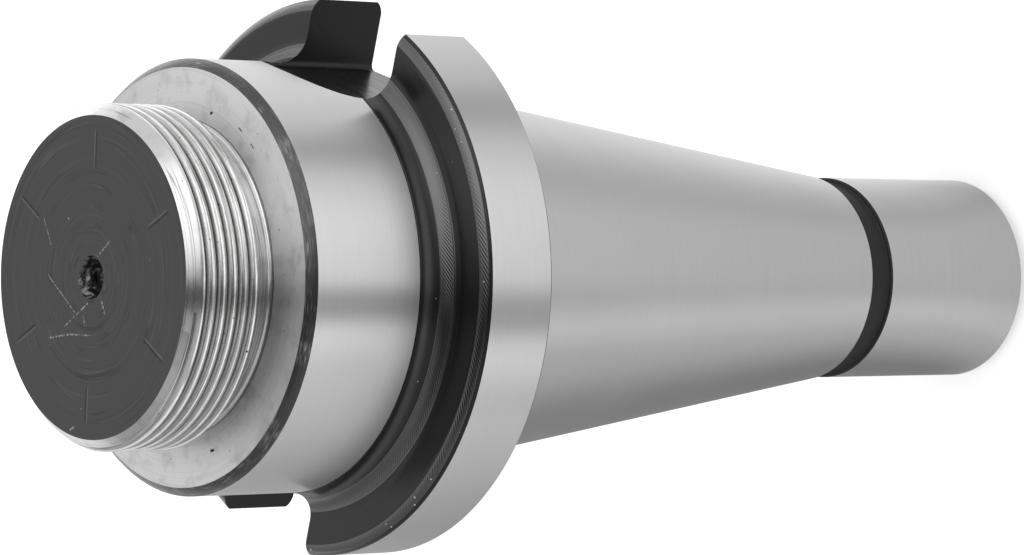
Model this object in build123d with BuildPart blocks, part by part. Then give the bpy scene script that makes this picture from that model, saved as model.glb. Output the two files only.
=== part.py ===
from build123d import *

import os
from math import radians, tan

# Taper shank holder for screw-on milling cutters and boring heads.
# The holder is one piece of hardened steel. It stands on its tail with the nose up: +Z runs along the
# axis towards the nose, the origin is the centre of the gauge line, where the taper has its gauge
# diameter, and the two drive slots lie on the X axis. Sizes are in millimetres.

# Taper shank, 7:24, size 40
gauge_diameter = 44.45
taper_rise = 7  # the diameter grows by 7 over every 24 of length
taper_run = 24
taper_length = 65.4  # gauge line to the small end of the taper
neck_depth = 0.6  # grinding relief between the taper and the flange

# Tail behind the taper
shank_length = 93.4  # gauge line to the tail face
pilot_diameter = 24.9
pilot_edge = 0.2
tail_chamfer = 1.6
groove_width = 3.5
groove_depth = 0.6  # below the pilot

# Drawbar thread in the tail, M16
recess_diameter = 17.0
recess_depth = 8.2
recess_mouth_chamfer = 0.8
tap_hole_diameter = 14.0
tap_hole_depth = 43.0
thread_mouth_chamfer = 1.2
drill_point_angle = 118

# Driving flange
flange_gap = 1.6  # gauge line to the back face of the flange
flange_thickness = 10.0
flange_diameter = 63.0
rim_front_radius = 1.7
rim_back_radius = 1.5

# Drive slots, milled through the flange and run out into the hub
slot_width = 16.1
slot_floor = 22.5  # axis to the floor of a slot
slot_corner_chamfer = 0.5  # the end mill's corners are broken at 45 degrees
slot_overrun = 1.8  # the end mill's axis stops this far past the flange
cutter_clearance = 2.0  # the end mill starts and lifts this far outside the steel

# Hub and the shoulder that the cutter body seats on
hub_diameter = 48.5
hub_length = 18.2  # flange front to the shoulder
hub_fillet = 3.2
shoulder_chamfer = 1.0

# Threaded nose, 1 1/2 inch at 18 turns to the inch, at the diameter of its crests
nose_diameter = 38.1
nose_length = 11.6
nose_chamfer = 1.35
relief_width = 2.8
relief_diameter = 34.4
relief_corner = 0.5  # bevel that strengthens the corner at the shoulder

# Centre hole in the nose face
centre_mouth = 4.8
centre_pilot = 2.0
centre_cone_angle = 60
centre_depth = 5.5

# Places along the axis
flange_back = flange_gap
flange_front = flange_back + flange_thickness
shoulder = flange_front + hub_length
nose_face = shoulder + nose_length
relief_top = shoulder + relief_width
taper_end = -taper_length
pilot_start = taper_end - groove_width
tail_face = -shank_length
recess_floor = tail_face + recess_depth
tap_hole_end = tail_face + tap_hole_depth

# Radii
gauge_radius = gauge_diameter / 2
taper_end_radius = gauge_radius - taper_length * taper_rise / (2 * taper_run)
neck_radius = gauge_radius - neck_depth
pilot_radius = pilot_diameter / 2
groove_radius = pilot_radius - groove_depth
flange_radius = flange_diameter / 2
hub_radius = hub_diameter / 2
nose_radius = nose_diameter / 2
relief_radius = relief_diameter / 2
recess_radius = recess_diameter / 2
tap_hole_radius = tap_hole_diameter / 2
slot_half_width = slot_width / 2

# Two heights or radii closer than this are the same
same = 0.01


def circles_at(body, radius, height):
    """The circular edges of one radius at one height."""
    circles = body.edges().filter_by(GeomType.CIRCLE)
    circles = circles.filter_by(lambda edge: abs(edge.radius - radius) < same)
    return circles.filter_by(lambda edge: abs(edge.arc_center.Z - height) < same)


# The space that the end mill clears on the +X side: it runs along the flange and stops in the hub,
# where it leaves a full-radius end, and its broken corners leave a bevel round the floor
slot_outline_plane = Plane.YZ.offset(slot_floor)
slot_start = flange_back - cutter_clearance
slot_end = flange_front + slot_overrun
with BuildPart() as drive_slot:
    with BuildSketch(slot_outline_plane):
        with BuildLine():
            Polyline(
                (-slot_half_width, slot_end),
                (-slot_half_width, slot_start),
                (slot_half_width, slot_start),
                (slot_half_width, slot_end),
            )
            RadiusArc((slot_half_width, slot_end), (-slot_half_width, slot_end), -slot_half_width)
        make_face()
    extrude(amount=flange_radius + cutter_clearance - slot_floor)
    floor_edges = drive_slot.faces().sort_by(Axis.X)[0].edges()
    cutting_edges = floor_edges.filter_by(lambda edge: edge.center().Z > slot_start + same)
    chamfer(cutting_edges, slot_corner_chamfer)

with BuildPart() as holder_body:
    # The turned blank: half of its outline, spun about the axis
    with BuildSketch(Plane.XZ):
        with BuildLine():
            Polyline(
                (0, tail_face),
                (pilot_radius, tail_face),
                (pilot_radius, pilot_start),
                (groove_radius, pilot_start),
                (groove_radius, taper_end),
                (taper_end_radius, taper_end),
                (gauge_radius, 0),
                (neck_radius, 0),
                (neck_radius, flange_back),
                (flange_radius, flange_back),
                (flange_radius, flange_front),
                (hub_radius, flange_front),
                (hub_radius, shoulder),
                (relief_radius, shoulder),
                (relief_radius, relief_top),
                (nose_radius, relief_top),
                (nose_radius, nose_face),
                (0, nose_face),
                close=True,
            )
        make_face()
    revolve(axis=Axis.Z)

    # Turned edges
    chamfer(circles_at(holder_body, pilot_radius, tail_face), tail_chamfer)
    chamfer(circles_at(holder_body, pilot_radius, pilot_start), pilot_edge)
    chamfer(circles_at(holder_body, hub_radius, shoulder), shoulder_chamfer)
    chamfer(circles_at(holder_body, nose_radius, nose_face), nose_chamfer)
    chamfer(circles_at(holder_body, relief_radius, shoulder), relief_corner)
    fillet(circles_at(holder_body, hub_radius, flange_front), hub_fillet)
    fillet(circles_at(holder_body, flange_radius, flange_front), rim_front_radius)
    fillet(circles_at(holder_body, flange_radius, flange_back), rim_back_radius)

    # Drawbar hole: recess, thread mouth, tap hole and the cone that the drill leaves
    drill_cone = tap_hole_radius / tan(radians(drill_point_angle / 2))
    with BuildSketch(Plane.XZ):
        with BuildLine():
            Polyline(
                (0, tail_face),
                (recess_radius + recess_mouth_chamfer, tail_face),
                (recess_radius, tail_face + recess_mouth_chamfer),
                (recess_radius, recess_floor),
                (tap_hole_radius + thread_mouth_chamfer, recess_floor),
                (tap_hole_radius, recess_floor + thread_mouth_chamfer),
                (tap_hole_radius, tap_hole_end),
                (0, tap_hole_end + drill_cone),
                close=True,
            )
        make_face()
    revolve(axis=Axis.Z, mode=Mode.SUBTRACT)

    # Centre hole that the blank turned on
    with Locations((0, 0, nose_face)):
        CounterSinkHole(
            radius=centre_pilot / 2,
            counter_sink_radius=centre_mouth / 2,
            depth=centre_depth,
            counter_sink_angle=centre_cone_angle,
        )

    # Two drive slots, opposite each other
    with PolarLocations(0, 2):
        add(drive_slot.part, mode=Mode.SUBTRACT)

holder_body.part.label = "holder_body"
os.makedirs("parts", exist_ok=True)
export_step(holder_body.part, "parts/holder_body.step")

print("length", nose_face - tail_face)
print("volume", holder_body.part.volume)
print("centre of mass", holder_body.part.center(CenterOf.MASS))
print("box", holder_body.part.bounding_box())
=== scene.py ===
# %% [markdown]
# # A taper shank holder for screw-on milling cutters
#
# The real holder is one piece of hardened steel, turned, milled, blackened and then ground. Its long cone
# fits the spindle of a milling machine, its flange carries two drive slots, and its nose has a thread that
# a cutter head screws onto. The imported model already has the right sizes, so this lesson keeps them and adds
# what makes such a thing look real: cut threads, broken edges, tool marks and a finish for every kind of cut.

# %% Load the fixed frame
from math import acos, cos, degrees, hypot, pi, radians, sin, sqrt, tan

import bmesh
import bpy
from mathutils import Matrix, Quaternion, Vector


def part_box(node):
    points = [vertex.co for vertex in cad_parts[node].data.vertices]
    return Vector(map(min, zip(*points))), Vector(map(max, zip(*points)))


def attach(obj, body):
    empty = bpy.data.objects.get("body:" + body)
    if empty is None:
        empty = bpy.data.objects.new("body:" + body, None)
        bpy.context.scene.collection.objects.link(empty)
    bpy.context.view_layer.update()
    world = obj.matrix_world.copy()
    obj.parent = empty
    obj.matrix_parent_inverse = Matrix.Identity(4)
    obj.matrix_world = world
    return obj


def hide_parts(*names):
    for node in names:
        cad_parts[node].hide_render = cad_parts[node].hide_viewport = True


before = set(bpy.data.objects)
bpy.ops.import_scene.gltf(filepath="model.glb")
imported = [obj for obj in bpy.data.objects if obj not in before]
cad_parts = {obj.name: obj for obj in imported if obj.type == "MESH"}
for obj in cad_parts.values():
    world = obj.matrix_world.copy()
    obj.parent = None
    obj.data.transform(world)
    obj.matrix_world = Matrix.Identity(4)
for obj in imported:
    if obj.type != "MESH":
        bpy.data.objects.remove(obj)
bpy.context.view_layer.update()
mm = 0.001
low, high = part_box("holder_body")
print("holder from", low, "to", high)

# %% [markdown]
# ## Sizes
#
# Everything on a lathe part is a radius and a place along its axis, so the sizes are written that way, in
# millimetres. The two end faces and the radius of the rim come from the frame.

# %% Sizes of the turned forms
tail_face = low.z / mm
nose_face = high.z / mm
rim_radius = high.y / mm

gauge_radius = 22.225
taper_rise = 7  # the diameter grows by 7 over every 24 of length
taper_run = 24
taper_end = -65.4
taper_end_radius = gauge_radius + taper_end * taper_rise / (2 * taper_run)
pilot_radius = 12.45
pilot_start = -68.9
pilot_edge = 0.2
tail_bevel = 1.6
groove_radius = 11.85
neck_radius = 21.625
flange_back = 1.6
flange_front = 11.6
rim_round_back = 1.5
rim_round_front = 1.7
hub_radius = 24.25
hub_fillet = 3.2
shoulder = 29.8
hub_bevel = 1.0
nose_radius = 19.05
nose_bevel = 1.35
relief_radius = 17.2
relief_top = 32.6
relief_corner = 0.5
print("length", nose_face - tail_face, "mm")

# %% [markdown]
# ## Camera
#
# The camera comes first, because every later choice is judged through it. The photograph looks at the nose
# from the side, with the axis lying level and the tail to the right. The holder stands on its tail here, so
# the camera is aimed from above and rolled by a quarter turn.

# %% Camera
camera_distance = 520 * mm
camera_height_angle = radians(40.0)
camera_turn = radians(-73.4)
camera_roll = radians(-90.0)
camera_aim = Vector((0, 0, -18.45 * mm))


def direction(turn, height):
    """The unit vector at a turn about Z and a height above level, in radians."""
    return Vector((cos(height) * cos(turn), cos(height) * sin(turn), sin(height)))


camera_data = bpy.data.cameras.new("camera")
camera_data.lens = 155.5
camera_data.sensor_width = 36
camera_data.clip_start = 0.01
camera = bpy.data.objects.new("camera", camera_data)
bpy.context.scene.collection.objects.link(camera)
toward_camera = direction(camera_turn, camera_height_angle)
camera.location = camera_aim + camera_distance * toward_camera
camera.rotation_mode = "QUATERNION"
camera.rotation_quaternion = toward_camera.to_track_quat("Z", "Y") @ Quaternion((0, 0, 1), camera_roll)
bpy.context.scene.camera = camera
bpy.context.scene.view_settings.view_transform = "Standard"
print("camera at", camera.location)

# %% [markdown]
# ## Helpers for materials
#
# Colours are picked on a screen, where hex values are sRGB, but the renderer works in linear light. One
# function turns one into the other. A second one adds a node with its settings, and links each input that is
# given as a socket. A third answers a question that comes up everywhere, in steel and in light: is a value
# inside a band? Such an answer is a mask, from zero to one. Masks are joined by taking the strongest, and a
# finish is built up by laying colours over each other, each through its mask.


# %% Material helpers
def linear(hex_colour):
    """An sRGB hex colour as linear red, green and blue, with an alpha of one."""
    channels = [int(hex_colour[i:i + 2], 16) / 255 for i in (1, 3, 5)]
    return [c / 12.92 if c <= 0.04045 else ((c + 0.055) / 1.055) ** 2.4 for c in channels] + [1.0]


def add(tree, kind, inputs=None, **settings):
    """Adds one node. Settings are its properties; inputs are values, or sockets to link from."""
    new = tree.nodes.new("ShaderNode" + kind)
    for name, value in settings.items():
        setattr(new, name, value)
    for name, value in (inputs or {}).items():
        if isinstance(value, bpy.types.NodeSocket):
            tree.links.new(value, new.inputs[name])
        else:
            new.inputs[name].default_value = value
    return new


def band(tree, value, centre, half_width, softness):
    """One inside a band of values, zero outside it."""
    away = add(tree, "Math", {0: value, 1: centre}, operation="SUBTRACT").outputs[0]
    away = add(tree, "Math", {0: away}, operation="ABSOLUTE").outputs[0]
    return add(tree, "MapRange", {
        "Value": away, "From Min": half_width - softness / 2, "From Max": half_width + softness / 2,
        "To Min": 1.0, "To Max": 0.0,
    }, interpolation_type="SMOOTHSTEP").outputs["Result"]


def strongest(tree, masks):
    """The largest of several masks at each point."""
    result = masks[0]
    for mask in masks[1:]:
        result = add(tree, "Math", {0: result, 1: mask}, operation="MAXIMUM").outputs[0]
    return result


def layered(tree, base, layers):
    """A base colour with others laid over it in turn, each where its mask is. Colours are hex."""
    colour = linear(base)
    for mask, cover in layers:
        colour = add(tree, "Mix", {
            "Factor": mask, "A": colour, "B": linear(cover),
        }, data_type="RGBA").outputs["Result"]
    return colour


def new_material(name):
    """An empty node material, and its tree."""
    material = bpy.data.materials.new(name)
    material.use_nodes = True
    material.node_tree.nodes.clear()
    return material, material.node_tree


# %% [markdown]
# ## Places on a lathe part
#
# A lathe tool or a grinding wheel leaves its marks round the axis. On a cylinder they are spaced along the
# axis and on a face they are spaced along the radius. The radius less the height changes along both, so that
# one number gives both kinds of lines from the object's own coordinates. The direction round the axis goes in
# as a point on a small circle, so that the pattern has no seam.


# %% Lathe coordinates
def lathe_place(tree):
    """Sockets that say where a point is: itself, its radius, height and angle, and the marks' two ways."""
    point = add(tree, "TexCoord").outputs["Object"]
    parts = add(tree, "SeparateXYZ", {"Vector": point}).outputs
    flat = add(tree, "CombineXYZ", {"X": parts["X"], "Y": parts["Y"]}).outputs["Vector"]
    radius = add(tree, "VectorMath", {0: flat}, operation="LENGTH").outputs["Value"]
    return {
        "point": point,
        "radius": radius,
        "height": parts["Z"],
        "angle": add(tree, "Math", {0: parts["Y"], 1: parts["X"]}, operation="ARCTAN2").outputs[0],
        "outward": add(tree, "VectorMath", {0: flat}, operation="NORMALIZE").outputs["Vector"],
        "across": add(tree, "Math", {0: radius, 1: parts["Z"]}, operation="SUBTRACT").outputs[0],
    }


def tool_marks(tree, place, spacing, around, detail):
    """Noise in lines that run round the axis, this far apart; around says how often it changes in a turn."""
    across = add(tree, "Math", {0: place["across"], 1: 1 / spacing}, operation="MULTIPLY").outputs[0]
    turn = add(
        tree, "VectorMath", {0: place["outward"], "Scale": around}, operation="SCALE",
    ).outputs["Vector"]
    turn = add(tree, "SeparateXYZ", {"Vector": turn}).outputs
    point = add(tree, "CombineXYZ", {"X": across, "Y": turn["X"], "Z": turn["Y"]}).outputs["Vector"]
    return add(tree, "TexNoise", {"Vector": point, "Scale": 1.0, "Detail": detail}).outputs["Fac"]


# %% [markdown]
# ## Marks of use
#
# The photograph shows small things that happened to this holder: pits, specks where the film came off, and
# a few scratches. Specks are cells of a Voronoi pattern, of which only a few are kept. A scratch is the
# distance from a straight line between two places on the steel, and noise breaks some into dots. A pit is a
# very short scratch.

# %% Specks and scratches
dot_size = 0.38 * mm


def specks(tree, place, spacing, size, kept):
    """Round specks, one in a cell; kept is the share of the cells that have one."""
    cells = add(tree, "TexVoronoi", {"Vector": place["point"], "Scale": 1 / spacing}).outputs
    spot = add(tree, "MapRange", {
        "Value": cells["Distance"], "From Min": 0.5 * size / spacing, "From Max": size / spacing,
        "To Min": 1.0, "To Max": 0.0,
    }).outputs["Result"]
    chance = add(tree, "SeparateXYZ", {"Vector": cells["Color"]}).outputs["X"]
    chosen = add(tree, "Math", {0: chance, 1: kept}, operation="LESS_THAN").outputs[0]
    return add(tree, "Math", {0: spot, 1: chosen}, operation="MULTIPLY").outputs[0]


def scratch(tree, place, start, end, width):
    """One on a straight line between two points in millimetres, falling to zero at its width."""
    start = Vector(start) * mm
    along = Vector(end) * mm - start
    passed = add(tree, "VectorMath", {0: place["point"], 1: start}, operation="SUBTRACT").outputs["Vector"]
    share = add(
        tree, "VectorMath", {0: passed, 1: along / along.length_squared}, operation="DOT_PRODUCT",
    ).outputs["Value"]
    share = add(tree, "Clamp", {"Value": share}).outputs["Result"]
    nearest = add(tree, "VectorMath", {0: along, "Scale": share}, operation="SCALE").outputs["Vector"]
    gap = add(tree, "VectorMath", {0: passed, 1: nearest}, operation="DISTANCE").outputs["Value"]
    return add(tree, "MapRange", {
        "Value": gap, "From Min": 0.4 * width * mm, "From Max": width * mm, "To Min": 1.0, "To Max": 0.0,
    }).outputs["Result"]


def dotted(tree, place, mask):
    """Breaks a mask into dots."""
    noise = add(tree, "TexNoise", {
        "Vector": place["point"], "Scale": 1 / dot_size, "Detail": 1.0,
    }).outputs["Fac"]
    dots = add(tree, "MapRange", {"Value": noise, "From Min": 0.42, "From Max": 0.62}).outputs["Result"]
    return add(tree, "Math", {0: mask, 1: dots}, operation="MULTIPLY").outputs[0]


# %% [markdown]
# ## Ground steel
#
# The taper, the rim, the hub and the pilot are ground after hardening. A grinding wheel leaves very fine
# lines round the part. They are too fine to see one by one, but they smear reflections along the axis and
# leave them crisp round it, which is what an anisotropic metal does. Its tangent runs round the axis, and a
# quarter turn puts the smear across the lines. A few lines, drawn coarser than the real ones so that they
# show, and soft clouds keep it from looking perfect.

# %% Ground steel
grinding_line = 0.22 * mm
cloud_size = 12 * mm
quarter_turn = 0.25


def ground_steel():
    """Ground metal: fine lines, soft clouds and a reflection smeared along the axis."""
    material, tree = new_material("ground_steel")
    place = lathe_place(tree)
    lines = tool_marks(tree, place, grinding_line, around=1.2, detail=2.0)
    clouds = add(tree, "TexNoise", {
        "Vector": place["point"], "Scale": 1 / cloud_size, "Detail": 2.0,
    }).outputs["Fac"]
    colour = layered(tree, "#c8c8c9", [(lines, "#d0d0d0")])
    roughness = add(tree, "MapRange", {
        "Value": clouds, "From Min": 0.15, "From Max": 0.85, "To Min": 0.27, "To Max": 0.34,
    }).outputs["Result"]
    bump = add(tree, "Bump", {"Height": lines, "Strength": 0.2, "Distance": 0.003 * mm}).outputs["Normal"]
    tangent = add(tree, "Tangent", direction_type="RADIAL", axis="Z").outputs["Tangent"]
    shader = add(tree, "BsdfPrincipled", {
        "Base Color": colour, "Metallic": 1.0, "Roughness": roughness, "Normal": bump, "Tangent": tangent,
        "Anisotropic": 0.78, "Anisotropic Rotation": quarter_turn,
    })
    add(tree, "OutputMaterial", {"Surface": shader.outputs["BSDF"]})
    return material


# %% [markdown]
# ## Turned bright steel
#
# The thread, its relief and the shoulder are finish-turned after hardening with a single point. The marks
# are coarser than grinding lines and the surface between them is shinier. The faced shoulder is duller, and
# its rings smear a reflection towards the axis and away from it, as a record does. Thin dark seams are where
# the tool dug in, and the crests of the thread are torn in short dark strokes. The roots of the thread are
# painted darker, as shade, and made rougher, and small dark pits are what is left of the scale. The larger
# pits and the scratch have the places where the photograph shows them. Each is two points and a width, in
# millimetres.

# %% Places of the pits and the scratch
pits = [
    ((9.2, -16.7, 39.0), (9.4, -16.6, 39.1), 0.16),
    ((11.1, -15.5, 39.7), (11.0, -15.6, 39.5), 0.12),
    ((2.6, -18.9, 40.6), (1.9, -18.9, 40.6), 0.14),
    ((1.5, -19.0, 40.3), (0.7, -19.0, 40.3), 0.12),
    ((19.0, -0.8, 29.8), (19.1, -1.0, 29.8), 0.22),
    ((18.8, -6.3, 29.8), (18.6, -6.8, 29.8), 0.12),
    ((17.7, -8.9, 29.8), (17.4, -9.4, 29.8), 0.10),
    ((-16.4, -11.4, 29.8), (-16.2, -11.8, 29.8), 0.22),
]
shoulder_scratch = ((5.8, -19.9, 29.8), (5.0, -21.4, 29.8), 0.09)
print("pits", len(pits))

# %% Turned steel
turning_line = 0.16 * mm
tear_width = 0.13 * mm
seam_spacing = 0.5 * mm
stain_size = 2.2 * mm
# The roots of the thread inside these radii are painted darker, as shade, and made rougher.
root_shade_from = 18.45 * mm
root_shade_to = 18.85 * mm
thread_middle = (relief_top + nose_face - nose_bevel) / 2 * mm
thread_half_length = 3.7 * mm
root_shade, torn_steel, stained_steel, pit_black = "#6e6c69", "#6a6866", "#a9a8a6", "#2a2826"


def turned_steel(name, tint, seam_strength, roughness, aniso):
    """Bright turned metal with its seams, and on the thread its tears and painted shade in its roots."""
    material, tree = new_material(name)
    place = lathe_place(tree)
    lines = tool_marks(tree, place, turning_line, around=1.0, detail=2.0)
    on_thread = band(tree, place["height"], thread_middle, thread_half_length, 0.2 * mm)
    tears = tool_marks(tree, place, tear_width, around=14.0, detail=3.0)
    tears = add(tree, "MapRange", {
        "Value": tears, "From Min": 0.56, "From Max": 0.74, "To Max": 0.5,
    }).outputs["Result"]
    # Painted shade: the roots of the thread are darkened, and roughened, inside these radii.
    deep = add(tree, "MapRange", {
        "Value": place["radius"], "From Min": root_shade_from, "From Max": root_shade_to,
        "To Min": 1.0, "To Max": 0.0,
    }).outputs["Result"]
    shaded_roots = add(tree, "Math", {0: on_thread, 1: deep}, operation="MULTIPLY").outputs[0]
    torn = add(tree, "Math", {0: on_thread, 1: tears}, operation="MULTIPLY").outputs[0]
    seams = tool_marks(tree, place, seam_spacing, around=0.5, detail=1.0)
    seams = band(tree, seams, 0.5, 0.02, 0.03)
    seams = add(tree, "Math", {0: seams, 1: seam_strength}, operation="MULTIPLY").outputs[0]
    stain = add(tree, "TexNoise", {
        "Vector": place["point"], "Scale": 1 / stain_size, "Detail": 4.0,
    }).outputs["Fac"]
    stain = add(tree, "MapRange", {
        "Value": stain, "From Min": 0.5, "From Max": 0.8, "To Max": 0.5,
    }).outputs["Result"]
    marks = [scratch(tree, place, *pit) for pit in pits]
    marks.append(specks(tree, place, spacing=1.1 * mm, size=0.11 * mm, kept=0.3))
    marks.append(specks(tree, place, spacing=2.7 * mm, size=0.17 * mm, kept=0.2))
    colour = layered(tree, tint, [
        (shaded_roots, root_shade), (torn, torn_steel), (seams, torn_steel), (stain, stained_steel),
        (strongest(tree, marks), pit_black),
    ])
    rough = add(tree, "MapRange", {
        "Value": lines, "From Min": 0.3, "From Max": 0.7, "To Min": roughness, "To Max": roughness + 0.09,
    }).outputs["Result"]
    rougher = strongest(tree, [shaded_roots, scratch(tree, place, *shoulder_scratch)])
    rough = add(tree, "Math", {0: rougher, 1: 0.2, 2: rough}, operation="MULTIPLY_ADD").outputs[0]
    bump = add(tree, "Bump", {"Height": lines, "Strength": 0.4, "Distance": 0.006 * mm}).outputs["Normal"]
    bump = add(tree, "Bump", {
        "Height": tears, "Strength": 0.4, "Distance": 0.014 * mm, "Normal": bump,
    }).outputs["Normal"]
    tangent = add(tree, "Tangent", direction_type="RADIAL", axis="Z").outputs["Tangent"]
    shader = add(tree, "BsdfPrincipled", {
        "Base Color": colour, "Metallic": 1.0, "Roughness": rough, "Normal": bump, "Tangent": tangent,
        "Anisotropic": aniso, "Anisotropic Rotation": quarter_turn,
    })
    add(tree, "OutputMaterial", {"Surface": shader.outputs["BSDF"]})
    return material


# %% [markdown]
# ## Black oxide
#
# What is not ground keeps the black oxide of the hot blackening bath, a thin film of magnetite sealed with
# oil. It is a dark dielectric. Where it is faced or milled it is dull. Where the form tool burnished the
# steel, in the outer half of the big fillet and on the rounds of the rim, the oiled film has a high index and
# mirrors the room, and the tool's chatter shows as a fine hatch of short slanted strokes. That is a sine wave
# round the part that slips sideways along the profile, and two bands of radius say where it is deep. Rings on
# the fillet are where one pass of the tool met the next, and are cut four times as deep.

# %% Black oxide
chatter_waves = 320
chatter_slip = 14 / mm
chatter_places = [(25.65, 0.6), (30.8, 0.4)]  # radius and half width of each band
tool_steps = [25.07, 26.3]  # radius of each ring
step_half_width = 0.05 * mm
step_depth = 4.0
film_off = "#b0b0ae"


def black_oxide(name, tint, index, line_spacing, line_depth, roughness, wear=None, chatter=0.0, aniso=0.0):
    """A blackened surface. wear is a function that gives a mask of where the film is off."""
    material, tree = new_material(name)
    place = lathe_place(tree)
    lines = tool_marks(tree, place, line_spacing, around=1.2, detail=2.0)
    bare = specks(tree, place, spacing=1.6 * mm, size=0.08 * mm, kept=0.12)
    if wear:
        bare = strongest(tree, [bare, wear(tree, place)])
    colour = layered(tree, tint, [(bare, film_off)])
    rough = add(tree, "MapRange", {
        "Value": lines, "From Min": 0.3, "From Max": 0.7, "To Min": roughness, "To Max": roughness + 0.08,
    }).outputs["Result"]
    bump = add(tree, "Bump", {"Height": lines, "Strength": 0.5, "Distance": line_depth}).outputs["Normal"]
    if chatter:
        wave = add(tree, "Math", {0: place["across"], 1: chatter_slip}, operation="MULTIPLY").outputs[0]
        wave = add(
            tree, "Math", {0: place["angle"], 1: chatter_waves, 2: wave}, operation="MULTIPLY_ADD",
        ).outputs[0]
        wave = add(tree, "Math", {0: wave}, operation="SINE").outputs[0]
        deep = strongest(tree, [
            band(tree, place["radius"], radius * mm, width * mm, 0.8 * width * mm)
            for radius, width in chatter_places
        ])
        steps = strongest(tree, [
            band(tree, place["radius"], radius * mm, step_half_width, step_half_width)
            for radius in tool_steps
        ])
        wave = add(tree, "Math", {0: wave, 1: deep}, operation="MULTIPLY").outputs[0]
        wave = add(tree, "Math", {0: steps, 1: -step_depth, 2: wave}, operation="MULTIPLY_ADD").outputs[0]
        bump = add(tree, "Bump", {
            "Height": wave, "Strength": 0.5, "Distance": chatter, "Normal": bump,
        }).outputs["Normal"]
    inputs = {"Base Color": colour, "Roughness": rough, "Normal": bump, "IOR": index}
    if aniso:
        inputs["Tangent"] = add(tree, "Tangent", direction_type="RADIAL", axis="Z").outputs["Tangent"]
        inputs["Anisotropic"] = aniso
        inputs["Anisotropic Rotation"] = quarter_turn
    shader = add(tree, "BsdfPrincipled", inputs)
    add(tree, "OutputMaterial", {"Surface": shader.outputs["BSDF"]})
    return material


# %% [markdown]
# The face of the nose was faced off and then blackened, so its tool marks are thin rings, bumped, and each
# painted as a dark line of shade with a lighter line of painted highlight beside it, taken from where a noise
# passes two values. Six short marks stand round it near the edge, like every second hour of a clock, each
# painted as a dark line of shade with a painted highlight on its lip. A few scratches cross it, where the film
# is off in dots.

# %% The face of the nose
face_mark_turn = 12.4
face_mark_spacing = 60.0
face_mark_middle = 14 * mm
face_mark_half_length = 2 * mm
ring_spacing = 0.7 * mm
ring_patch = 7 * mm
face_scratches = [
    ((2.6, -0.6, 41.4), (4.9, -2.4, 41.4), 0.11),
    ((-2.9, -0.2, 41.4), (-6.5, 3.25, 41.4), 0.12),
    ((-8.7, 5.9, 41.4), (-7.2, 2.3, 41.4), 0.13),
    ((-7.2, 2.4, 41.4), (-6.1, -1.7, 41.4), 0.11),
    ((-1.4, -2.3, 41.4), (-3.0, -3.6, 41.4), 0.12),
    ((-4.5, 0.2, 41.4), (-5.4, -0.4, 41.4), 0.12),
    ((3.7, 10.6, 41.4), (1.3, 8.4, 41.4), 0.08),
    ((-2.1, 8.0, 41.4), (-4.7, 1.5, 41.4), 0.08),
    ((-17.1, -1.0, 41.4), (-16.6, -1.6, 41.4), 0.16),
]


def face_wear(tree, place):
    """Where the film is off: dotted scratches and a few specks."""
    lines_off = dotted(tree, place, strongest(tree, [scratch(tree, place, *line) for line in face_scratches]))
    specks_off = specks(tree, place, spacing=2.4 * mm, size=0.14 * mm, kept=0.12)
    return strongest(tree, [lines_off, specks_off])


def face_mark(tree, place, beside, half_width, softness):
    """The six short radial marks, or a line beside them, as a mask."""
    turn = add(tree, "Math", {0: place["angle"], 1: radians(face_mark_turn)}, operation="SUBTRACT").outputs[0]
    half_step = radians(face_mark_spacing / 2)
    turn = add(tree, "Math", {0: turn, 1: half_step, 2: -half_step}, operation="WRAP").outputs[0]
    aside = add(tree, "Math", {0: turn, 1: place["radius"]}, operation="MULTIPLY").outputs[0]
    line = band(tree, aside, beside, half_width, softness)
    length = band(tree, place["radius"], face_mark_middle, face_mark_half_length, 0.6 * mm)
    return add(tree, "Math", {0: line, 1: length}, operation="MULTIPLY").outputs[0]


# %% Faced black oxide
def faced_black_oxide():
    """The nose face: rings and six marks painted with shade and highlight, specks and scratches in a dull
    black film.
    """
    material, tree = new_material("faced_black_oxide")
    place = lathe_place(tree)
    rings = tool_marks(tree, place, ring_spacing, around=0.45, detail=1.0)
    strong = add(tree, "TexNoise", {
        "Vector": place["point"], "Scale": 1 / ring_patch, "Detail": 1.0,
    }).outputs["Fac"]
    strong = add(tree, "MapRange", {
        "Value": strong, "From Min": 0.35, "From Max": 0.65, "To Min": 0.15,
    }).outputs["Result"]
    # Painted shade and highlight: each ring gets a darker line and a lighter one beside it.
    line, ring_highlight = (
        add(
            tree, "Math", {0: band(tree, rings, value, 0.02, 0.03), 1: strong}, operation="MULTIPLY",
        ).outputs[0]
        for value in (0.5, 0.55)
    )
    # Painted shade and highlight: each of the six marks is a black line with a lighter lip beside it.
    mark_highlight = face_mark(tree, place, beside=0.27 * mm, half_width=0.1 * mm, softness=0.2 * mm)
    mark_shade = face_mark(tree, place, beside=0.0, half_width=0.13 * mm, softness=0.16 * mm)
    colour = layered(tree, "#2e2e2f", [
        (line, "#1d1d1e"), (ring_highlight, "#3b3b3c"), (mark_highlight, "#4c4c4c"), (mark_shade, "#040404"),
        (face_wear(tree, place), "#929290"),
    ])
    bump = add(tree, "Bump", {"Height": rings, "Strength": 0.5, "Distance": 0.04 * mm}).outputs["Normal"]
    shader = add(tree, "BsdfPrincipled", {
        "Base Color": colour, "Roughness": 0.42, "IOR": 1.5, "Normal": bump,
    })
    add(tree, "OutputMaterial", {"Surface": shader.outputs["BSDF"]})
    return material


# %% [markdown]
# The bevel of the hub is where the holder gets knocked, so its film is rubbed off in fine strokes that
# follow the turning marks, and the rounds of the rim have lost theirs in specks. The centre hole keeps the
# lumpy scale of the blackening bath, and the tops of the lumps are painted lighter, as highlights.

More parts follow.
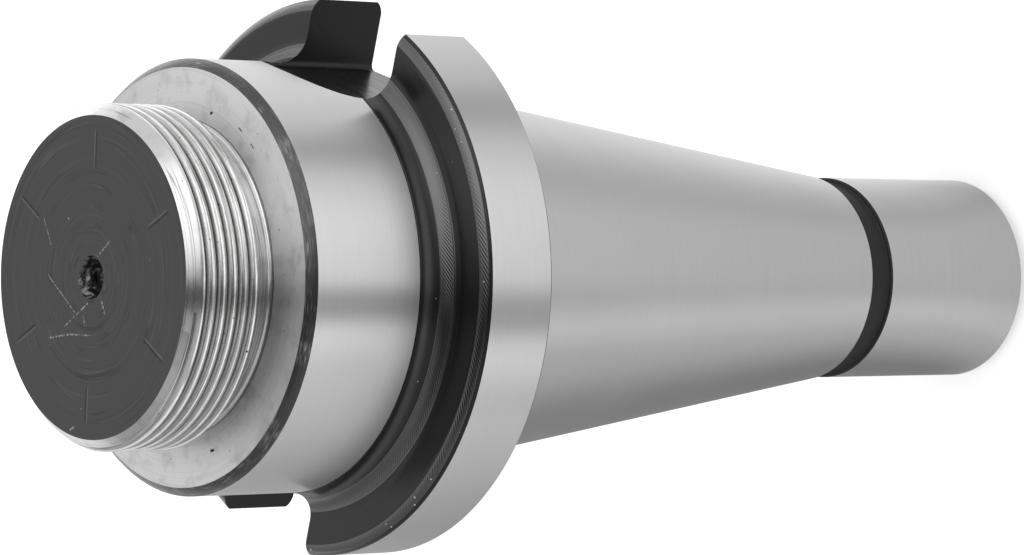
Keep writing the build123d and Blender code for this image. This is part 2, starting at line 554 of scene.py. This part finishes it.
# %% Wear of the bevel and the rim, and the centre hole
rub_spacing = 0.12 * mm
rub_patch = 4 * mm
rim_wear_radius = 31.0 * mm
lump_size = 1.3 * mm


def rim_wear(tree, place):
    """Specks where the rounds of the rim were knocked."""
    knocked = specks(tree, place, spacing=0.9 * mm, size=0.14 * mm, kept=0.45)
    on_rim = band(tree, place["radius"], rim_wear_radius, 0.5 * mm, 0.3 * mm)
    return add(tree, "Math", {0: knocked, 1: on_rim}, operation="MULTIPLY").outputs[0]


def bevel_wear(tree, place):
    """Strokes along the tool marks, where a patchy noise allows them."""
    strokes = tool_marks(tree, place, rub_spacing, around=16.0, detail=3.0)
    strokes = add(tree, "MapRange", {"Value": strokes, "From Min": 0.5, "From Max": 0.7}).outputs["Result"]
    allowed = add(tree, "TexNoise", {
        "Vector": place["point"], "Scale": 1 / rub_patch, "Detail": 2.0,
    }).outputs["Fac"]
    allowed = add(tree, "MapRange", {
        "Value": allowed, "From Min": 0.42, "From Max": 0.62, "To Min": 0.05, "To Max": 0.5,
    }).outputs["Result"]
    return add(tree, "Math", {0: strokes, 1: allowed}, operation="MULTIPLY").outputs[0]


def scaled_bore():
    """The centre hole: black with shiny lumps of scale, their tops painted lighter as highlights."""
    material, tree = new_material("scaled_black_oxide")
    place = lathe_place(tree)
    lumps_and_highlights = add(tree, "TexNoise", {
        "Vector": place["point"], "Scale": 1 / lump_size, "Detail": 1.5,
    }).outputs["Fac"]
    bump = add(tree, "Bump", {"Height": lumps_and_highlights, "Strength": 1.0, "Distance": 0.9 * mm}).outputs["Normal"]
    # Painted highlight: the higher a lump, the lighter its colour.
    colour = layered(tree, "#060606", [(lumps_and_highlights, "#2a2a2a")])
    shader = add(tree, "BsdfPrincipled", {
        "Base Color": colour, "Roughness": 0.24, "IOR": 2.2, "Normal": bump,
    })
    add(tree, "OutputMaterial", {"Surface": shader.outputs["BSDF"]})
    return material


# %% [markdown]
# Ten finishes cover the holder: three of bright metal, six of the black film and the scale of the centre
# hole. The films differ in the cut below them, which sets their roughness, and in how much oil they hold,
# which sets their index. The groove, the relief behind the flange and the hole in the tail keep the plain
# dull film.

# %% Make the finishes
finishes = {
    "ground": ground_steel(),
    "turned": turned_steel("turned_steel", tint="#dedede", seam_strength=0.6, roughness=0.12, aniso=0.3),
    "shoulder": turned_steel("faced_steel", tint="#efefef", seam_strength=0.1, roughness=0.38, aniso=0.85),
    "formed": black_oxide(
        "form_turned_black_oxide", tint="#0b0b0c", index=2.2, line_spacing=0.2 * mm, line_depth=0.005 * mm,
        roughness=0.13, wear=rim_wear, chatter=0.014 * mm, aniso=0.4,
    ),
    "bevel": black_oxide(
        "rubbed_black_oxide", tint="#121213", index=1.85, line_spacing=0.16 * mm, line_depth=0.008 * mm,
        roughness=0.24, wear=bevel_wear, aniso=0.4,
    ),
    "flange": black_oxide(
        "turned_black_oxide", tint="#0d0d0e", index=1.5, line_spacing=0.3 * mm, line_depth=0.005 * mm,
        roughness=0.2, aniso=0.4,
    ),
    "faced": faced_black_oxide(),
    "milled": black_oxide(
        "milled_black_oxide", tint="#0c0c0d", index=1.42, line_spacing=0.9 * mm, line_depth=0.004 * mm,
        roughness=0.24,
    ),
    "dull": black_oxide(
        "dull_black_oxide", tint="#29292a", index=1.3, line_spacing=0.25 * mm, line_depth=0.006 * mm,
        roughness=0.45,
    ),
    "scaled": scaled_bore(),
}
finish_index = {name: i for i, name in enumerate(finishes)}
print("finishes", list(finishes))

# %% [markdown]
# ## The turned blank
#
# A lathe part is half of an outline, spun about the axis. The outline is a chain of points in millimetres,
# with each round as an arc. The rounds of the rim were turned on a blank that was a little larger and then
# ground down, so they end in a crease at the rim and don't run smoothly into it. The wheel stopped just
# short of the fillet and left a black edge. The bevel of the hub has been rubbed a little round. Other edges
# are broken by less than a tenth, and catch the light.

# %% Sizes of the holes and edges
recess_radius = 8.5
recess_floor = tail_face + 8.2
tap_hole_radius = 7.0
tap_hole_end = tail_face + 43.0
thread_mouth = 1.2
recess_mouth = 0.8
centre_mouth = 2.4
centre_pilot = 1.0
centre_depth = 5.5
drill_point_angle = 118
centre_cone_angle = 60
centre_cone = (centre_mouth - centre_pilot) / tan(radians(centre_cone_angle / 2))
edge_break = 0.09
grinding_step = 0.07
hub_black_edge = 0.12
bevel_angle = 45
bevel_crown = 12  # the crown's arc reaches this many degrees to each side
rim_allowance = 0.3
groove_corner = 0.3
nose_round = 0.9
print("the drill's cone starts", round(tap_hole_end - tail_face, 1), "mm from the tail")


# %% Outline from the tail to the flange
def arc(centre, radius, first, last, steps):
    """Points of an arc from one angle to another, in degrees, counted from straight out."""
    angles = [radians(first + (last - first) * i / steps) for i in range(steps + 1)]
    return [(centre[0] + radius * cos(a), centre[1] + radius * sin(a)) for a in angles]


outline = [
    (0, tap_hole_end + tap_hole_radius / tan(radians(drill_point_angle / 2))),
    (tap_hole_radius, tap_hole_end),
    (tap_hole_radius, recess_floor + thread_mouth),
    (tap_hole_radius + thread_mouth, recess_floor),
    (recess_radius, recess_floor),
    (recess_radius, tail_face + recess_mouth),
    (recess_radius + recess_mouth, tail_face),
    (pilot_radius - tail_bevel, tail_face),
    (pilot_radius - edge_break, tail_face + tail_bevel - edge_break),
    (pilot_radius, tail_face + tail_bevel + edge_break),
    (pilot_radius, pilot_start - pilot_edge),
    (pilot_radius - pilot_edge, pilot_start),
]
groove_bottom = groove_radius + groove_corner
outline += arc((groove_bottom, pilot_start + groove_corner), groove_corner, -90, -180, 4)
outline += arc((groove_bottom, taper_end - groove_corner), groove_corner, 180, 90, 4)
outline += [
    (taper_end_radius - edge_break, taper_end),
    (taper_end_radius, taper_end + edge_break),
    (gauge_radius, 0),
    (neck_radius, 0),
    (neck_radius, flange_back),
]

# %% Outline from the flange to the nose
turned_back = rim_round_back + rim_allowance
turned_front = rim_round_front + rim_allowance
crease_back = degrees(acos(rim_round_back / turned_back))
crease_front = degrees(acos(rim_round_front / turned_front))
outline += arc((rim_radius - rim_round_back, flange_back + turned_back), turned_back, -90, -crease_back, 9)
outline += arc((rim_radius - rim_round_front, flange_front - turned_front), turned_front, crease_front, 90, 9)

fillet = hub_fillet - grinding_step
outline += arc((hub_radius + hub_fillet, flange_front + fillet), fillet, -90, -180, 16)
fillet_end = flange_front + fillet + grinding_step
hub_ground_end = fillet_end + hub_black_edge
bevel_start = shoulder - hub_bevel - edge_break
outline += [(hub_radius, height) for height in (fillet_end, hub_ground_end, bevel_start)]
crown = hub_bevel / sqrt(2) / sin(radians(bevel_crown))
crown_depth = hub_bevel / 2 + crown * cos(radians(bevel_crown)) / sqrt(2)
crown_centre = (hub_radius - crown_depth, shoulder - crown_depth)
outline += arc(crown_centre, crown, bevel_angle - bevel_crown, bevel_angle + bevel_crown, 4)
outline += [(hub_radius - hub_bevel - edge_break, shoulder)]
outline += arc((relief_radius + relief_corner, shoulder + relief_corner), relief_corner, -90, -180, 6)
outline += [(relief_radius, relief_top), (nose_radius, relief_top)]
round_height = nose_face - nose_bevel - nose_round * tan(radians(bevel_angle / 2))
outline += arc((nose_radius - nose_round, round_height), nose_round, 0, bevel_angle, 5)
outline += [
    (nose_radius - nose_bevel, nose_face),
    (centre_mouth, nose_face),
    (centre_pilot, nose_face - centre_cone),
    (centre_pilot, nose_face - centre_depth),
    (0, nose_face - centre_depth),
]
print("outline of", len(outline), "points")


# %% [markdown]
# Which finish a face gets depends only on its place on the outline, so one function answers for a radius and
# a height.

# %% Finish by place
near = 0.01
burnished = [(25.0, 26.4), (30.15, 31.25)]  # from one radius to another


def finish_at(radius, height):
    """The finish of the outline at one place, in millimetres."""
    if height > nose_face - near:
        return "faced"
    if shoulder - near < height < shoulder + near and radius > relief_radius + relief_corner:
        return "shoulder"
    if height > shoulder - near:
        return "turned" if radius > centre_mouth else "scaled"
    if height > shoulder - hub_bevel - near and radius > relief_radius:
        return "bevel"
    if height > hub_ground_end and radius > relief_radius:
        return "ground"
    if height > flange_back - near:
        if radius > rim_radius - near:
            return "ground"
        return "formed" if any(first < radius < last for first, last in burnished) else "flange"
    if height > -near:
        return "dull"
    if radius < recess_radius + recess_mouth or height < tail_face + near:
        return "dull"
    if taper_end > height > pilot_start - pilot_edge:
        return "dull"
    return "ground"


# %% Spin the blank
around_steps = 288
merge_distance = 1e-7


def finished_object(name, bm):
    """Puts a bmesh into a new object that has every finish, and frees it."""
    mesh = bpy.data.meshes.new(name)
    bm.to_mesh(mesh)
    bm.free()
    for material in finishes.values():
        mesh.materials.append(material)
    made = bpy.data.objects.new(name, mesh)
    bpy.context.scene.collection.objects.link(made)
    print(name, len(mesh.polygons), "faces")
    return made


def spun_mesh(name, points, steps, finish):
    """Spins an outline in millimetres about the Z axis, and gives each face its finish."""
    bm = bmesh.new()
    chain = [bm.verts.new((r * mm, 0, z * mm)) for r, z in points]
    for a, b in zip(chain, chain[1:]):
        bm.edges.new((a, b))
    bmesh.ops.spin(
        bm, geom=bm.verts[:] + bm.edges[:], cent=(0, 0, 0), axis=(0, 0, 1), dvec=(0, 0, 0),
        angle=2 * pi, steps=steps, use_merge=True, use_duplicate=False,
    )
    bmesh.ops.remove_doubles(bm, verts=bm.verts[:], dist=merge_distance)
    bmesh.ops.recalc_face_normals(bm, faces=bm.faces[:])
    for face in bm.faces:
        centre = face.calc_center_median() / mm
        face.material_index = finish_index[finish(hypot(centre.x, centre.y), centre.z)]
    return finished_object(name, bm)


holder = spun_mesh("holder", outline, around_steps, finish_at)

# %% [markdown]
# ## Cutters
#
# The real forms are cut from the blank, so each one is made as the space that its tool clears: the end mill
# that runs along the flange, the single point that cuts the nose thread and the tap in the tail. A boolean
# then takes them away, and the thread's run-out and the curved ends of the slots come by themselves.

# %% The space of the end mill
slot_half = 8.05
slot_floor = 22.5
slot_corner = 0.7
slot_overrun = 1.8
cutter_clearance = 2.0
slot_end = flange_front + slot_overrun
slot_start = flange_back - cutter_clearance
slot_outside = rim_radius + cutter_clearance
slot_end_steps = 40
same_place = 1e-6


def slot_cutter():
    """Both drive slots: a rounded outline pushed outwards, with a rounded edge round its floor."""
    bm = bmesh.new()
    points = [(-slot_half, slot_start), (slot_half, slot_start)]
    points += arc((0, slot_end), slot_half, 0, 180, slot_end_steps)
    floor = bm.faces.new([bm.verts.new((slot_floor * mm, y * mm, z * mm)) for y, z in points])
    wall = bmesh.ops.extrude_face_region(bm, geom=[floor])
    moved = [v for v in wall["geom"] if isinstance(v, bmesh.types.BMVert)]
    bmesh.ops.translate(bm, verts=moved, vec=((slot_outside - slot_floor) * mm, 0, 0))
    bmesh.ops.recalc_face_normals(bm, faces=bm.faces[:])
    rim = [
        e for e in bm.edges
        if all(abs(v.co.x - slot_floor * mm) < same_place for v in e.verts)
        and any(v.co.z > slot_start * mm + same_place for v in e.verts)
    ]
    bmesh.ops.bevel(
        bm, geom=rim, offset=slot_corner * mm, offset_type="OFFSET", affect="EDGES", segments=6,
        profile=0.5, material=-1, clamp_overlap=True,
    )
    turned = bmesh.ops.duplicate(bm, geom=bm.verts[:] + bm.edges[:] + bm.faces[:])
    twin = [v for v in turned["geom"] if isinstance(v, bmesh.types.BMVert)]
    bmesh.ops.rotate(bm, verts=twin, cent=(0, 0, 0), matrix=Matrix.Rotation(pi, 3, "Z"))
    for face in bm.faces:
        face.material_index = finish_index["milled"]
    return finished_object("slot_space", bm)


# %% [markdown]
# A thread groove is one section that turns and climbs at the same time, which is a spin with a step along
# the axis. The section is a V of 60 degrees. Near the crest it flares out along an arc, so that the crests
# are left well rounded, as on the photographed thread. It reaches past the crest, and a small gap keeps one
# turn of the space clear of the next.

# %% The space of a thread tool
thread_angle = radians(30)  # half of the V
thread_overshoot = 0.4
turn_gap = 0.015
root_hollow = 0.03


def helix_cutter(name, section, pitch, start, turns, steps, finish):
    """A closed groove space: a section in millimetres (radius, height) that turns and climbs."""
    bm = bmesh.new()
    ring = [bm.verts.new((r * mm, 0, (start + z) * mm)) for r, z in section]
    face = bm.faces.new(ring)
    bmesh.ops.spin(
        bm, geom=[face], cent=(0, 0, 0), axis=(0, 0, 1), dvec=(0, 0, pitch / steps * mm),
        angle=2 * pi * turns, steps=int(steps * turns), use_merge=False, use_duplicate=False,
    )
    bmesh.ops.recalc_face_normals(bm, faces=bm.faces[:])
    for face in bm.faces:
        face.material_index = finish_index[finish]
    return finished_object(name, bm)


# %% The nose thread's section
def outside_section(crest, root, pitch, crest_round):
    """A groove for an outside thread: a narrow root, flanks, and arcs that leave round crests."""
    half = pitch / 2
    root_half = half - (crest + crest_round - root) * tan(thread_angle)
    flare = arc((crest - crest_round, half), crest_round, -60, -6, 6)
    upper = [(root - root_hollow, 0), (root, root_half)] + flare
    upper.append((crest + thread_overshoot, half - turn_gap))
    return upper + [(r, -z) for r, z in reversed(upper[1:])]


nose_pitch = 25.4 / 18
nose_root = 18.43
crest_round = 0.5
crest_height = 33.02
crest_turn = 286.6
nose_thread = outside_section(nose_radius, nose_root, nose_pitch, crest_round)
print("nose thread pitch", round(nose_pitch, 3), "mm")

# %% [markdown]
# The tap's groove in the tail is the same idea turned inside out. Its section points away from the axis.

# %% The drawbar thread's section
drawbar_pitch = 2.0
drawbar_major = 8.0


def inside_section(minor, major, pitch):
    """A groove for an inside thread: straight flanks of 60 degrees and a narrow flat at the major radius."""
    flat = pitch / 16
    inner = minor - thread_overshoot
    mouth = flat + (major - inner) * tan(thread_angle)
    return [(inner, mouth), (inner, -mouth), (major, -flat), (major, flat)]


# %% [markdown]
# ## Cutting
#
# All the cutters go into one space, and one boolean takes it away. The manifold solver needs closed meshes,
# which these are, and is fast and clean where the thread runs into the relief. Both meshes have the same
# list of finishes, so a face that a cutter leaves keeps the finish of that cutter: this is how the slots and
# the threads get their own steel without any selecting by hand.


# %% Cut the blank
def cut(target, cutters):
    """Takes the space of all the cutters out of the target and removes them."""
    bm = bmesh.new()
    for cutter in cutters:
        bm.from_mesh(cutter.data)
        bpy.data.objects.remove(cutter)
    space = finished_object("all_cuts", bm)
    change = target.modifiers.new("cut", "BOOLEAN")
    change.operation = "DIFFERENCE"
    change.solver = "MANIFOLD"
    change.material_mode = "INDEX"
    change.object = space
    bpy.context.view_layer.update()
    shown = target.evaluated_get(bpy.context.evaluated_depsgraph_get())
    result = bpy.data.meshes.new_from_object(shown)
    target.modifiers.clear()
    target.data = result
    bpy.data.objects.remove(space)
    print(target.name, "cut:", len(result.polygons), "faces")


# %% Make the cutters and cut
nose_start = crest_height + nose_pitch / 2 - nose_pitch * crest_turn / 360 - nose_pitch
nose_turns = 7.9
nose_steps = 144
drawbar_start = recess_floor - 1.4
drawbar_turns = 15.0
drawbar_steps = 48
drawbar_thread = inside_section(tap_hole_radius, drawbar_major, drawbar_pitch)
nose_groove = helix_cutter(
    "nose_groove", nose_thread, nose_pitch, nose_start, nose_turns, nose_steps, "turned",
)
drawbar_groove = helix_cutter(
    "drawbar_groove", drawbar_thread, drawbar_pitch, drawbar_start, drawbar_turns, drawbar_steps, "dull",
)
cut(holder, [slot_cutter(), nose_groove, drawbar_groove])

# %% [markdown]
# Shading is smooth over the round forms and breaks where the surface turns by more than 30 degrees. The mesh
# should be closed, with every edge between two faces, so that is measured too.

# %% Smooth shading and a closed mesh
sharp_angle = radians(30)
bm = bmesh.new()
bm.from_mesh(holder.data)
open_edges = [e for e in bm.edges if len(e.link_faces) != 2]
print("open edges", len(open_edges), "volume", round(bm.calc_volume() / mm ** 3), "cubic mm")
bm.free()
holder.data.polygons.foreach_set("use_smooth", [True] * len(holder.data.polygons))
holder.data.set_sharp_from_angle(angle=sharp_angle)
holder.data.calc_loop_triangles()
print("triangles", len(holder.data.loop_triangles))

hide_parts("holder_body")
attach(holder, "root")

# %% [markdown]
# ## What stands round the holder
#
# Bright steel shows what stands round it more than it shows light. The photograph was taken on a white
# table in something like a light tent: white all round, a soft box above and to one side, and a narrow dark
# gap beside its open front. Reflections in the upright walls of the holder look down at the table, and those
# in the thread, the rounds and the bevels look up. So the table and the world each get a pattern that
# reflections see. A list of marks, each a mask with a strength, says where they are lighter or darker. Most
# masks are bands of angles, with a middle, a half width and a softness in degrees.

# %% Helpers for light
tent_front = radians(-73.4)


def from_tent_front(tree, vector):
    """Turns a vector about Z so that its X points to the open front of the tent."""
    return add(
        tree, "VectorRotate", {"Vector": vector, "Angle": -tent_front}, rotation_type="Z_AXIS",
    ).outputs["Vector"]


def turn_angle(tree, vector):
    """The angle of a vector about Z, in degrees."""
    parts = add(tree, "SeparateXYZ", {"Vector": vector}).outputs
    turn = add(tree, "Math", {0: parts["Y"], 1: parts["X"]}, operation="ARCTAN2").outputs[0]
    return add(tree, "Math", {0: turn, 1: 180 / pi}, operation="MULTIPLY").outputs[0]


def summed(tree, base, marks):
    """A base level and marks, each a mask with a strength, added together."""
    level = base
    for mask, strength in marks:
        level = add(tree, "Math", {0: mask, 1: strength, 2: level}, operation="MULTIPLY_ADD").outputs[0]
    return level


# %% [markdown]
# ## Table
#
# The background of the photograph is pure white. The table is plain white card, and a little of its own
# light is added for the camera alone, so that it looks white and still keeps a soft shadow. Reflections see
# its pattern: far out it is bright but for two dark gaps and a dim back, and close in it shades from the
# bright side to the dim side, with a shadow of the holder painted beside it, which only reflections see.

# %% Table
bm = bmesh.new()
bmesh.ops.create_grid(bm, x_segments=1, y_segments=1, size=3.0)
bmesh.ops.translate(bm, verts=bm.verts[:], vec=(0, 0, tail_face * mm))
table_mesh = bpy.data.meshes.new("table")
bm.to_mesh(table_mesh)
bm.free()
table = bpy.data.objects.new("table", table_mesh)
bpy.context.scene.collection.objects.link(table)

# %% What reflections see on the table
near_reach = 110 * mm
far_reach = 140 * mm
horizon_from = 190 * mm
horizon_to = 330 * mm
# Middle of a painted shadow of the holder on the table, which only reflections see.
shadow_place = direction(radians(-46), 0) * 122 * mm

table_material, tree = new_material("white_card")
spot = from_tent_front(tree, add(tree, "TexCoord").outputs["Object"])
turn = turn_angle(tree, spot)
parts = add(tree, "SeparateXYZ", {"Vector": spot}).outputs
flat = add(tree, "CombineXYZ", {"X": parts["X"], "Y": parts["Y"]}).outputs["Vector"]
reach = add(tree, "VectorMath", {0: flat}, operation="LENGTH").outputs["Value"]
horizon_ring = add(tree, "MapRange", {
    "Value": reach, "From Min": horizon_from, "From Max": horizon_to,
}, interpolation_type="SMOOTHSTEP").outputs["Result"]
far_level = summed(tree, 0.76, [
    (band(tree, turn, 0, 45, 40), 0.32),
    (band(tree, turn, 28, 14, 20), 0.08),
    (band(tree, turn, -13, 8, 8), -0.78),
    (band(tree, turn, 66, 9, 16), -0.34),
    (band(tree, turn, 135, 35, 50), 0.3),
    (band(tree, turn, -150, 60, 60), -0.3),
    (horizon_ring, 0.45),
])
near_level = summed(tree, 0.7, [
    (band(tree, turn, 140, 40, 50), 0.34),
    (band(tree, turn, -125, 50, 60), -0.42),
    (band(tree, turn, 62, 9, 20), -0.08),
    (band(tree, turn, -32, 12, 16), 0.12),
])
outside = add(tree, "MapRange", {
    "Value": reach, "From Min": near_reach, "From Max": far_reach,
}, interpolation_type="SMOOTHSTEP").outputs["Result"]
level = add(tree, "Mix", {
    "Factor": outside, "A": near_level, "B": far_level,
}, data_type="FLOAT").outputs["Result"]
# Painted shadow of the holder: the table is darker round that place for reflections.
from_shadow_place = add(tree, "VectorMath", {0: flat, 1: shadow_place}, operation="DISTANCE").outputs["Value"]
level = summed(tree, level, [(band(tree, from_shadow_place, 0.0, 18 * mm, 30 * mm), -0.55)])

# %% What the camera sees of the table
white = linear("#ffffff")
ray = add(tree, "LightPath").outputs
card = add(tree, "BsdfDiffuse", {"Color": linear("#f0f0f0")})
glow = add(tree, "Math", {0: ray["Is Camera Ray"], 1: 0.35}, operation="MULTIPLY").outputs[0]
own_light = add(tree, "Emission", {"Color": white, "Strength": glow})
seen = add(tree, "AddShader", {0: card.outputs["BSDF"], 1: own_light.outputs["Emission"]})
mirrored = add(tree, "Emission", {"Color": white, "Strength": level})
both = add(tree, "MixShader", {
    0: ray["Is Glossy Ray"], 1: seen.outputs["Shader"], 2: mirrored.outputs["Emission"],
})
add(tree, "OutputMaterial", {"Surface": both.outputs["Shader"]})
table.data.materials.append(table_material)

# %% [markdown]
# ## Light
#
# The tent is the world. It is dimmer on one side, its soft box is a smooth bright patch high on the other,
# and the gap is a narrow slice of directions from the table up past the zenith. A patch is given by its turn,
# its height and its width in degrees. Everything that is not a mirror gets even white light and one soft lamp
# from above.


# %% Light tent
def patch(tree, way, turn, height, width):
    """One toward a direction, falling smoothly to zero this many degrees away from it."""
    aim = direction(radians(turn), radians(height))
    closeness = add(tree, "VectorMath", {0: way, 1: aim}, operation="DOT_PRODUCT").outputs["Value"]
    return add(tree, "MapRange", {
        "Value": closeness, "From Min": cos(radians(width)), "From Max": 1.0,
    }, interpolation_type="SMOOTHSTEP").outputs["Result"]


# %% Walls of the tent
world = bpy.data.worlds.new("light_tent")
world.use_nodes = True
bpy.context.scene.world = world
tree = world.node_tree
tree.nodes.clear()
way = from_tent_front(tree, add(tree, "TexCoord").outputs["Generated"])
turn = turn_angle(tree, way)
height = add(tree, "SeparateXYZ", {"Vector": way}).outputs["Z"]
horizon = band(tree, height, 0.0, 0.12, 0.2)
ahead = add(tree, "Math", {0: horizon, 1: band(tree, turn, 8, 25, 40)}, operation="MULTIPLY").outputs[0]
level = summed(tree, 0.38, [
    (band(tree, turn, 90, 60, 60), 0.4),
    (patch(tree, way, 52, 52, 42), 0.75),
    (patch(tree, way, 180, 40, 50), 0.36),
    (patch(tree, way, -60, 76, 34), -0.3),
    (patch(tree, way, -60, 15, 45), 0.14),
    (horizon, 0.45),
    (ahead, 0.5),
])

# %% Gap of the tent
gap_turn = radians(-14)
gap_half_width = radians(7)
gap_softness = radians(8)
aside = add(tree, "VectorMath", {
    0: way, 1: Vector((-sin(gap_turn), cos(gap_turn), 0)),
}, operation="DOT_PRODUCT").outputs["Value"]
slice_of_gap = band(tree, aside, 0.0, sin(gap_half_width), sin(gap_softness))
ahead = add(tree, "SeparateXYZ", {"Vector": way}).outputs["X"]
ahead = add(tree, "MapRange", {"Value": ahead, "From Min": -0.2, "From Max": 0.1}).outputs["Result"]
gap = add(tree, "Math", {0: slice_of_gap, 1: ahead}, operation="MULTIPLY").outputs[0]
open_tent = summed(tree, 1.0, [(gap, -0.72)])
open_front = summed(tree, 1.0, [(patch(tree, way, 0, 38, 18), -0.3)])
level = add(tree, "Math", {0: level, 1: open_tent}, operation="MULTIPLY").outputs[0]
level = add(tree, "Math", {0: level, 1: open_front}, operation="MULTIPLY").outputs[0]

# %% What each kind of ray sees of the tent
even_light = 0.8
ray = add(tree, "LightPath").outputs
seen = add(tree, "Mix", {
    "Factor": ray["Is Glossy Ray"], "A": even_light, "B": level,
}, data_type="FLOAT").outputs["Result"]
seen = add(tree, "Mix", {
    "Factor": ray["Is Camera Ray"], "A": seen, "B": 1.0,
}, data_type="FLOAT").outputs["Result"]
backdrop = add(tree, "Background", {"Color": white, "Strength": seen}).outputs["Background"]
add(tree, "OutputWorld", {"Surface": backdrop})

# %% Soft lamp
lamp_data = bpy.data.lights.new("soft_lamp", "AREA")
lamp_data.shape = "SQUARE"
lamp_data.size = 1.0
lamp_data.energy = 3.0
lamp = bpy.data.objects.new("soft_lamp", lamp_data)
bpy.context.scene.collection.objects.link(lamp)
lamp.location = (-0.05, -0.2, 0.8)
lamp.rotation_mode = "QUATERNION"
lamp.rotation_quaternion = (lamp.location - camera_aim).to_track_quat("Z", "Y")
lamp.visible_glossy = False
print("lamp at", lamp.location)
